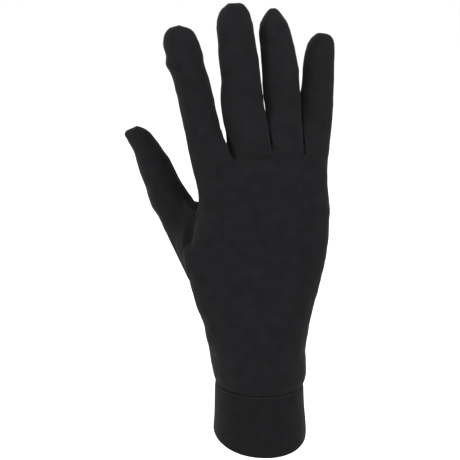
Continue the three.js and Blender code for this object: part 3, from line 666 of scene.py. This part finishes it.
def build_fingers(skin, knuckles):
    """Adds the four finger stalls on the palm's last row, and gives the crotch paths."""
    paths = [
        crotch_path(skin, i, knuckles[(i + 1) * FACE], knuckles[PALM_END - (i + 1) * FACE])
        for i in range(len(CROTCH_NAMES))
    ]
    little_edge = knuckles[4 * FACE + 1 : 5 * FACE]
    thumb_edge = knuckles[PALM_END + 1 :]
    edge = -HALF_KNUCKLES
    for stall in FINGERS:
        stall["root"] = (edge + stall["seat"] * stall["width"], height_at(stall["high"]))
        edge += stall["width"]
    for i, stall in enumerate(FINGERS):
        palm = PALM_END - (i + 1) * FACE
        right = paths[i] if i < len(paths) else little_edge
        left = paths[i - 1][::-1] if i > 0 else thumb_edge
        back_face = knuckles[i * FACE : (i + 1) * FACE + 1]
        palm_face = knuckles[palm : palm + FACE + 1]
        loop = np.concatenate([back_face, right, palm_face, left])
        right_piece = FIRST_FOURCHETTE + i if i < len(paths) else PALM
        left_piece = FIRST_FOURCHETTE + i - 1 if i > 0 else PALM
        pieces = ((BACK, BACK), (right_piece, PALM), (PALM, PALM), (left_piece, PALM))
        build_stall(skin, stall, loop, lambda angle: STALL_BLEND, i, pieces)
    return paths


def build_thumb(skin, grid):
    """Adds the thumb's stall on the hole's rim: up its front, over the top, down the palm, and back."""
    THUMB["root"] = (THUMB["across"] * HALF_KNUCKLES, height_at(THUMB["high"]))
    front = grid[HOLE_FIRST_ROW : HOLE_LAST_ROW + 1, 0]
    top = grid[HOLE_LAST_ROW, COLUMNS - 1 : HOLE_FIRST_COLUMN : -1]
    palm = grid[HOLE_LAST_ROW : HOLE_FIRST_ROW : -1, HOLE_FIRST_COLUMN]
    bottom = grid[HOLE_FIRST_ROW, HOLE_FIRST_COLUMN:]
    loop = np.concatenate([front, top, palm, bottom])

    def blend(angle):
        return mix(THUMB_BLEND, THUMB_WEB_BLEND, (1 + np.cos(angle)) / 2)

    build_stall(skin, THUMB, loop, blend, None, ((THUMB_PIECE, THUMB_PIECE),) * 4)
    return loop


# Folds and seams


def fold_height(points, normals):
    """Height of the folds: a bell curve round each fold's line, on its own side of the glove."""
    height = np.zeros(len(points))
    place = points[:, [0, 2]]
    for side, x0, z0, x1, z1, width, high in zip(*FOLDS.values()):
        start = np.array([x0, z0])
        line = np.array([x1, z1]) - start
        along = np.clip((place - start) @ line / (line @ line), 0, 1)
        away = np.linalg.norm(place - start - along[:, None] * line, axis=1) / width
        height += high * np.exp(-(away**2)) * np.clip(2 * side * normals[:, 1], 0, 1)
    return height


def seam_height(way):
    """Height beside a seam: the cloth turns in at it, and its allowance makes a low ridge beside it."""
    dip = SEAM_DIP * np.exp(-((way / SEAM_DIP_WIDTH) ** 2))
    ridge = SEAM_RIDGE * np.exp(-(((way - SEAM_RIDGE_AWAY) / SEAM_RIDGE_WIDTH) ** 2))
    return ridge - dip


def undulation(points, seed, reach):
    """Smooth unevenness of the cloth, mostly between -1 and 1: the sum of sine waves in seeded directions,
    over the root of their number."""
    random = np.random.default_rng(seed)
    waves = random.normal(size=(WAVES, 3)) / reach
    start = random.uniform(0, 2 * np.pi, WAVES)
    return np.sin(points @ waves.T * 2 * np.pi + start).sum(axis=1) / np.sqrt(WAVES)


# Meshes


def add_object(name, data):
    """Adds an object with its data to the scene."""
    made = bpy.data.objects.new(name, data)
    bpy.context.scene.collection.objects.link(made)
    return made


SHARP = 55  # degrees from which an edge stays sharp


def make_mesh(name, points, faces, cloth, materials):
    """A mesh object in metres, smooth but for its edges, with a UV map in metres of flat cloth."""
    mesh = bpy.data.meshes.new(name)
    mesh.from_pydata((points / 1000).tolist(), [], faces.tolist())
    layer = mesh.uv_layers.new(name="cloth")
    layer.data.foreach_set("uv", (cloth / 1000).astype(np.float32).ravel())
    mesh.shade_smooth()
    mesh.set_sharp_from_angle(angle=np.radians(SHARP))
    for material in materials:
        mesh.materials.append(material)
    return add_object(name, mesh)


def thickened(points, inward, faces, cloth, thickness):
    """A closed shell: the faces, their copies drawn inward, and a wall on each open edge."""
    used, local = np.unique(faces, return_inverse=True)
    local = local.reshape(faces.shape)
    count = len(used)
    outer = points[used]
    inner = outer + inward[used] * thickness
    start = local
    end = np.roll(local, -1, axis=1)
    is_open = ~np.isin(start * count + end, end * count + start)
    a, b = start[is_open], end[is_open]
    walls = np.stack([b, a, a + count, b + count], axis=1)
    next_cloth = np.roll(cloth, -1, axis=1)
    ca, cb = cloth[is_open], next_cloth[is_open]
    wall_cloth = np.stack([cb, ca, ca, cb], axis=1)
    all_faces = np.concatenate([local, local[:, ::-1] + count, walls])
    all_cloth = np.concatenate([cloth, cloth[:, ::-1], wall_cloth])
    return np.concatenate([outer, inner]), all_faces, all_cloth


# Cuff


def hem_height(x, y):
    """How high the hem lies: tilted across its width, level on the palm, and lower at the back."""
    return -2 * CUFF_TILT * x / CUFF_WIDTH - CUFF_DROOP * drop_to_back(y)


def outward(path):
    """Level direction out of a closed path at each of its points, square to its neighbours' line."""
    along = np.roll(path, -1, axis=0) - np.roll(path, 1, axis=0)
    away = np.stack([along[:, 1], -along[:, 0], along[:, 0] * 0], axis=1)
    return away / np.linalg.norm(away, axis=1, keepdims=True)


def cuff_surface():
    """The folded band: its outline goes down the outside, round the hem and up the inside, and is
    carried round the wrist seam's section."""
    columns = palm_columns()
    seam = palm_surface(columns, np.zeros(COLUMNS))
    radius = CUFF_CLOTH / 2
    down = 1 - np.arange(CUFF_ROWS + 1) / CUFF_ROWS
    turn = np.pi * np.arange(1, HEM_ROWS) / HEM_ROWS
    share = np.concatenate([down, turn * 0, down[::-1]])[:, None]
    depth = np.concatenate([down * 0, radius * (1 - np.cos(turn)), down * 0 + CUFF_CLOTH])[:, None]
    drop = np.concatenate([down * 0, radius * np.sin(turn), down * 0])[:, None]
    # The top edge is rounded over into the seam.
    shoulder = (CUFF_HEIGHT * (1 - share) / SHOULDER_HEIGHT) ** 2
    depth = depth + SHOULDER * np.exp(-shoulder) * (depth < radius)
    thumb = read(CUFF_SECTIONS, "thumb", share)
    little = read(CUFF_SECTIONS, "little", share)
    x = seam[:, 0] * np.where(seam[:, 0] < 0, thumb, little)
    y = seam[:, 1] * read(CUFF_SECTIONS, "depth", share)
    z = mix(hem_height(x, y) + radius, seam[:, 2] - CUFF_GAP, share) - drop
    return np.stack([x, y, z], axis=-1) - outward(seam) * depth[..., None]


def build_cuff(materials):
    """The closed band of the cuff as one object."""
    points = cuff_surface()
    closed = np.concatenate([points, points[:, :1]], axis=1)
    closed = np.concatenate([closed, closed[:1]])
    numbers = np.arange(points.shape[0] * COLUMNS).reshape(-1, COLUMNS)
    numbers = np.concatenate([numbers, numbers[:, :1]], axis=1)
    numbers = np.concatenate([numbers, numbers[:1]])
    flat = np.stack([arc(closed, 1), -arc(closed, 0)], axis=-1)
    net = Skin()
    net.add_points(points, flat[:-1, :-1])
    net.add_faces(numbers[::-1], flat[::-1], 0)
    return make_mesh("cuff_cloth", net.points, net.faces, net.cloth, materials)


def stitch_row(path):
    """Points, faces and flat places of a row of stitches on a closed path. Each is a thread, round in
    section, whose ends grow thin and dive into the cloth: its middle rises by half a sine wave over its
    length."""
    closed = np.concatenate([path, path[:1]])
    facing = np.concatenate([outward(path), outward(path)[:1]])
    way = arc(closed, 0)

    def on_path(values, place):
        return np.stack([np.interp(place % way[-1], way, values[:, k]) for k in range(3)], axis=-1)

    count = int(way[-1] / STITCH_PITCH)
    u = np.linspace(0, 1, STITCH_RINGS)
    place = (np.arange(count)[:, None] + 0.5) * way[-1] / count + (u - 0.5) * STITCH_LENGTH
    centre = on_path(closed, place)
    up = on_path(facing, place)
    along = on_path(closed, place + STITCH_STEP) - centre
    along /= np.linalg.norm(along, axis=-1, keepdims=True)
    side = np.cross(along, up)
    radius = THREAD / 2 * np.maximum(1 - (2 * u - 1) ** 4, 0.05) ** 0.5
    centre = centre + up * (THREAD * (np.sin(np.pi * u) - STITCH_SINK))[:, None]
    angle = 2 * np.pi * np.arange(STITCH_SIDES) / STITCH_SIDES
    spoke = np.cos(angle)[:, None] * side[..., None, :] + np.sin(angle)[:, None] * up[..., None, :]
    points = centre[..., None, :] + radius[:, None, None] * spoke
    ring = np.arange(STITCH_SIDES)
    here = np.arange(STITCH_RINGS - 1)[:, None] * STITCH_SIDES + ring
    beside = here - ring + np.roll(ring, -1)
    walls = np.stack([here, beside, beside + STITCH_SIDES, here + STITCH_SIDES], axis=-1)
    # Three faces close each end, which has eight corners.
    cap = np.array([[0, 3, 2, 1], [0, 7, 4, 3], [7, 6, 5, 4]])
    last = (STITCH_RINGS - 1) * STITCH_SIDES
    one = np.concatenate([walls.reshape(-1, 4), cap, cap[:, ::-1] + last])
    faces = one + np.arange(count)[:, None, None] * STITCH_RINGS * STITCH_SIDES
    faces = faces.reshape(-1, 4)
    flat = np.stack(np.broadcast_arrays(place[..., None], angle * THREAD / 2), axis=-1)
    return points.reshape(-1, 3), faces, flat.reshape(-1, 2)[faces]


def build_wrist_stitches(materials):
    """The stitches that show along the cuff's top edge."""
    edge, below = cuff_surface()[:2]
    path = mix(edge, below, STITCH_PLACE)
    return make_mesh("wrist_stitches", *stitch_row(path), materials)


# Materials


def linear(colour):
    """Linear red, green, blue and alpha from an sRGB hex value."""
    srgb = np.array([int(colour[i : i + 2], 16) for i in (1, 3, 5)]) / 255
    value = np.where(srgb <= 0.04045, srgb / 12.92, ((srgb + 0.055) / 1.055) ** 2.4)
    return (*value.tolist(), 1.0)


def add(tree, kind, inputs=None, **settings):
    """Adds a node. settings are its own, and inputs are values for its sockets, or sockets to link."""
    made = tree.nodes.new(kind)
    for name, value in settings.items():
        setattr(made, name, value)
    for name, value in (inputs or {}).items():
        if isinstance(value, bpy.types.NodeSocket):
            tree.links.new(value, made.inputs[name])
        else:
            made.inputs[name].default_value = value
    return made


def new_material(name):
    """A material without nodes, and its node tree."""
    material = bpy.data.materials.new(name)
    material.use_nodes = True
    material.node_tree.nodes.clear()
    return material, material.node_tree


WALE = 1.25e-3  # metres between the knit's columns: about twice the real spacing, so that they show
COURSE = 0.95e-3  # metres between the knit's rows, drawn as coarse
FUZZ = 1400.0  # how fine the fibre ends are, in grains per metre
MOTTLE = 160.0  # how fine the patches of worn and fresh cloth are, in patches per metre
LEG_SLANT = 0.6  # how far a loop's legs rise from its middle to its sides, in courses
KNIT_SHADE_SHARE = 0.35  # share of the tone that follows the knit, darker in its hollows as painted shade; the patches give the rest
TWIST = 0.5236e-3  # metres along the sewing thread from one ply to the next


def jersey(name, light, dark):
    """Black cotton jersey, knitted fine and brushed: dull, with a faint bloom of fibre ends at grazing
    angles, fine upright ribs, and patches that are a little lighter where the nap is worn."""
    material, tree = new_material(name)

    def maths(operation, a, b=0.0, c=0.0):
        return add(tree, "ShaderNodeMath", {0: a, 1: b, 2: c}, operation=operation).outputs[0]

    uv = add(tree, "ShaderNodeUVMap", uv_map="cloth").outputs[0]
    flat = add(tree, "ShaderNodeSeparateXYZ", {0: uv}).outputs
    wale = maths("FRACT", maths("DIVIDE", flat["X"], WALE))
    # Each loop is a V: two legs that rise from the wale's middle to its sides.
    side = maths("MULTIPLY", maths("ABSOLUTE", maths("SUBTRACT", wale, 0.5)), 2.0)
    row = maths("DIVIDE", flat["Y"], COURSE)
    course = maths("FRACT", maths("SUBTRACT", row, maths("MULTIPLY", side, LEG_SLANT)))
    leg = maths("SINE", maths("MULTIPLY", side, np.pi))
    stitch = maths("SINE", maths("MULTIPLY", course, np.pi))
    knit = maths("MULTIPLY", leg, maths("MULTIPLY_ADD", stitch, 0.5, 0.5))

    place = add(tree, "ShaderNodeTexCoord").outputs["Object"]
    fuzz = add(tree, "ShaderNodeTexNoise", {"Vector": place, "Scale": FUZZ, "Detail": 3.0}).outputs[0]
    mottle = add(tree, "ShaderNodeTexNoise", {"Vector": place, "Scale": MOTTLE, "Detail": 4.0}).outputs[0]
    relief = maths("MULTIPLY_ADD", fuzz, 0.5, knit)
    # The noise keeps near 0.5, so its spread is widened to about 0 to 1.
    patches = maths("MULTIPLY_ADD", mottle, 2.6, -0.8)
    # The knit's part of the tone paints shade into the hollows between its legs.
    tone = maths("MULTIPLY_ADD", knit, KNIT_SHADE_SHARE, maths("MULTIPLY", patches, 1 - KNIT_SHADE_SHARE))
    colour = add(
        tree,
        "ShaderNodeMix",
        {0: tone, 6: linear(dark), 7: linear(light)},
        data_type="RGBA",
    )
    bump = add(tree, "ShaderNodeBump", {"Height": relief, "Strength": 0.5, "Distance": 0.00022})
    surface = add(
        tree,
        "ShaderNodeBsdfPrincipled",
        {
            "Base Color": colour.outputs[2],
            "Normal": bump.outputs[0],
            "Roughness": 0.95,
            "Specular IOR Level": 0.12,
            "Sheen Weight": 0.05,
            "Sheen Roughness": 0.3,
            "Sheen Tint": linear("#c9c8cf"),
        },
    )
    add(tree, "ShaderNodeOutputMaterial", {"Surface": surface.outputs[0]})
    return material


def thread(name, colour):
    """Spun polyester sewing thread: duller than filament thread, a little lighter than the cloth, with a
    fine twist."""
    material, tree = new_material(name)
    uv = add(tree, "ShaderNodeUVMap", uv_map="cloth").outputs[0]
    # A diagonal wave of scale 1 repeats every 0.2 pi along either axis.
    twist = add(
        tree,
        "ShaderNodeTexWave",
        {"Vector": uv, "Scale": 0.2 * np.pi / TWIST, "Distortion": 0.0},
        bands_direction="DIAGONAL",
    ).outputs[1]
    bump = add(tree, "ShaderNodeBump", {"Height": twist, "Strength": 0.6, "Distance": 0.00005})
    surface = add(
        tree,
        "ShaderNodeBsdfPrincipled",
        {
            "Base Color": linear(colour),
            "Normal": bump.outputs[0],
            "Roughness": 0.8,
            "Specular IOR Level": 0.28,
        },
    )
    add(tree, "ShaderNodeOutputMaterial", {"Surface": surface.outputs[0]})
    return material


def paper(name, colour):
    """Matt studio paper: one even colour with hardly any gloss."""
    material, tree = new_material(name)
    surface = add(tree, "ShaderNodeBsdfPrincipled", {"Base Color": linear(colour), "Roughness": 0.9})
    add(tree, "ShaderNodeOutputMaterial", {"Surface": surface.outputs[0]})
    return material


# Camera, light and floor
CAMERA_ELEVATION = 15.5  # degrees
CAMERA_DISTANCE = 700
CAMERA_TARGET = (-16.47, 0, 116.64)
SENSOR = 36
LENS = 101.45

# Soft boxes: place, side and power, in metres and watts
SOFT_BOXES = {
    "key": ((-1.65, -0.45, 0.6), 0.35, 15),
    "rim": ((-1.1, 0.9, 0.5), 0.7, 14),
    "top": ((0.15, -0.3, 0.6), 0.4, 2.6),
}
LIT = (0, 0, 0.12)  # what they face: the glove's middle, in metres
OVERHEAD = 1.75  # strength of the wide light from above
OVERHEAD_ANGLE = 60  # degrees
OVERHEAD_TURN = (28, 30, 0)  # degrees
ROOM = 0.66  # strength of the light from all round
FLOOR_LEVEL = -0.09  # metres
FLOOR_CORNERS = ((-9, -6), (9, -6), (9, 12), (-9, 12))  # metres


def build_camera():
    """The camera faces its target from the glove's back, and looks down at it."""
    data = bpy.data.cameras.new("camera")
    data.sensor_width = SENSOR
    data.lens = LENS
    data.clip_end = 100
    camera = add_object("camera", data)
    tilt = np.radians(CAMERA_ELEVATION)
    back = CAMERA_DISTANCE * np.array([0, -np.cos(tilt), np.sin(tilt)])
    camera.location = (np.array(CAMERA_TARGET) + back) / 1000
    camera.rotation_euler = (np.pi / 2 - tilt, 0, 0)
    bpy.context.scene.camera = camera


def build_soft_box(name, place, size, power):
    """A square lamp that faces the middle of the glove."""
    data = bpy.data.lights.new(name, "AREA")
    data.shape = "SQUARE"
    data.size = size
    data.energy = power
    light = add_object(name, data)
    light.location = place
    x, y, z = np.array(LIT) - np.array(place)
    light.rotation_euler = (np.arctan2(np.hypot(x, y), -z), 0, np.arctan2(y, x) - np.pi / 2)


def build_stage():
    """White paper below, even light from all round, the soft boxes and the wide light from above."""
    world = bpy.data.worlds.new("studio")
    world.use_nodes = True
    background = world.node_tree.nodes["Background"]
    background.inputs[0].default_value = (1, 1, 1, 1)
    background.inputs[1].default_value = ROOM
    bpy.context.scene.world = world
    corners = [(x, y, FLOOR_LEVEL) for x, y in FLOOR_CORNERS]
    mesh = bpy.data.meshes.new("floor")
    mesh.from_pydata(corners, [], [(0, 1, 2, 3)])
    mesh.materials.append(paper("white_paper", "#f7f7f7"))
    floor = add_object("floor", mesh)
    for name, settings in SOFT_BOXES.items():
        build_soft_box(name, *settings)
    sky = bpy.data.lights.new("overhead", "SUN")
    sky.energy = OVERHEAD
    sky.angle = np.radians(OVERHEAD_ANGLE)
    add_object("overhead", sky).rotation_euler = np.radians(OVERHEAD_TURN)


def build_glove():
    """The knitted pieces, as one skin cut along its seams."""
    skin = Skin()
    grid = build_palm(skin)
    paths = build_fingers(skin, grid[-1])
    rim = build_thumb(skin, grid)
    skin.soften(np.concatenate([grid[-1], *paths, rim]), *JOINT_SOFTENING)
    skin.soften(grid[HOLE_LAST_ROW, [0]], *WEB_SOFTENING)
    skin.soften(np.concatenate(skin.tips), *TIP_SOFTENING)
    normals = skin.normals()
    seams = np.concatenate([skin.borders(), grid[0]])
    height = fold_height(skin.points, normals) + seam_height(skin.way_from(seams, SEAM_REACH))
    for high, seed, reach in UNEVENNESS:
        height += high * undulation(skin.points, seed, reach)
    skin.points += normals * height[:, None]
    inward = skin.inward()
    material = jersey("black_cotton_jersey", "#151416", "#0d0c0e")
    for number, name in enumerate(PIECES):
        chosen = skin.piece == number
        shell = thickened(skin.points, inward, skin.faces[chosen], skin.cloth[chosen], CLOTH)
        made = make_mesh(f"{name}_cloth", *shell, [material])
        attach(made, "root")
        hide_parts(name)
    # The cuff's jersey is drawn darker than the glove's: painted shade for the dimmer light low on the
    # glove.
    cuff = build_cuff([jersey("cuff_jersey_painted_darker", "#121113", "#0b0a0c")])
    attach(cuff, "root")
    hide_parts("cuff")
    stitches = build_wrist_stitches([thread("spun_polyester_thread", "#1b1a1d")])
    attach(stitches, "root")


build_camera()
build_stage()
build_glove()
bpy.context.scene.view_settings.view_transform = "Standard"
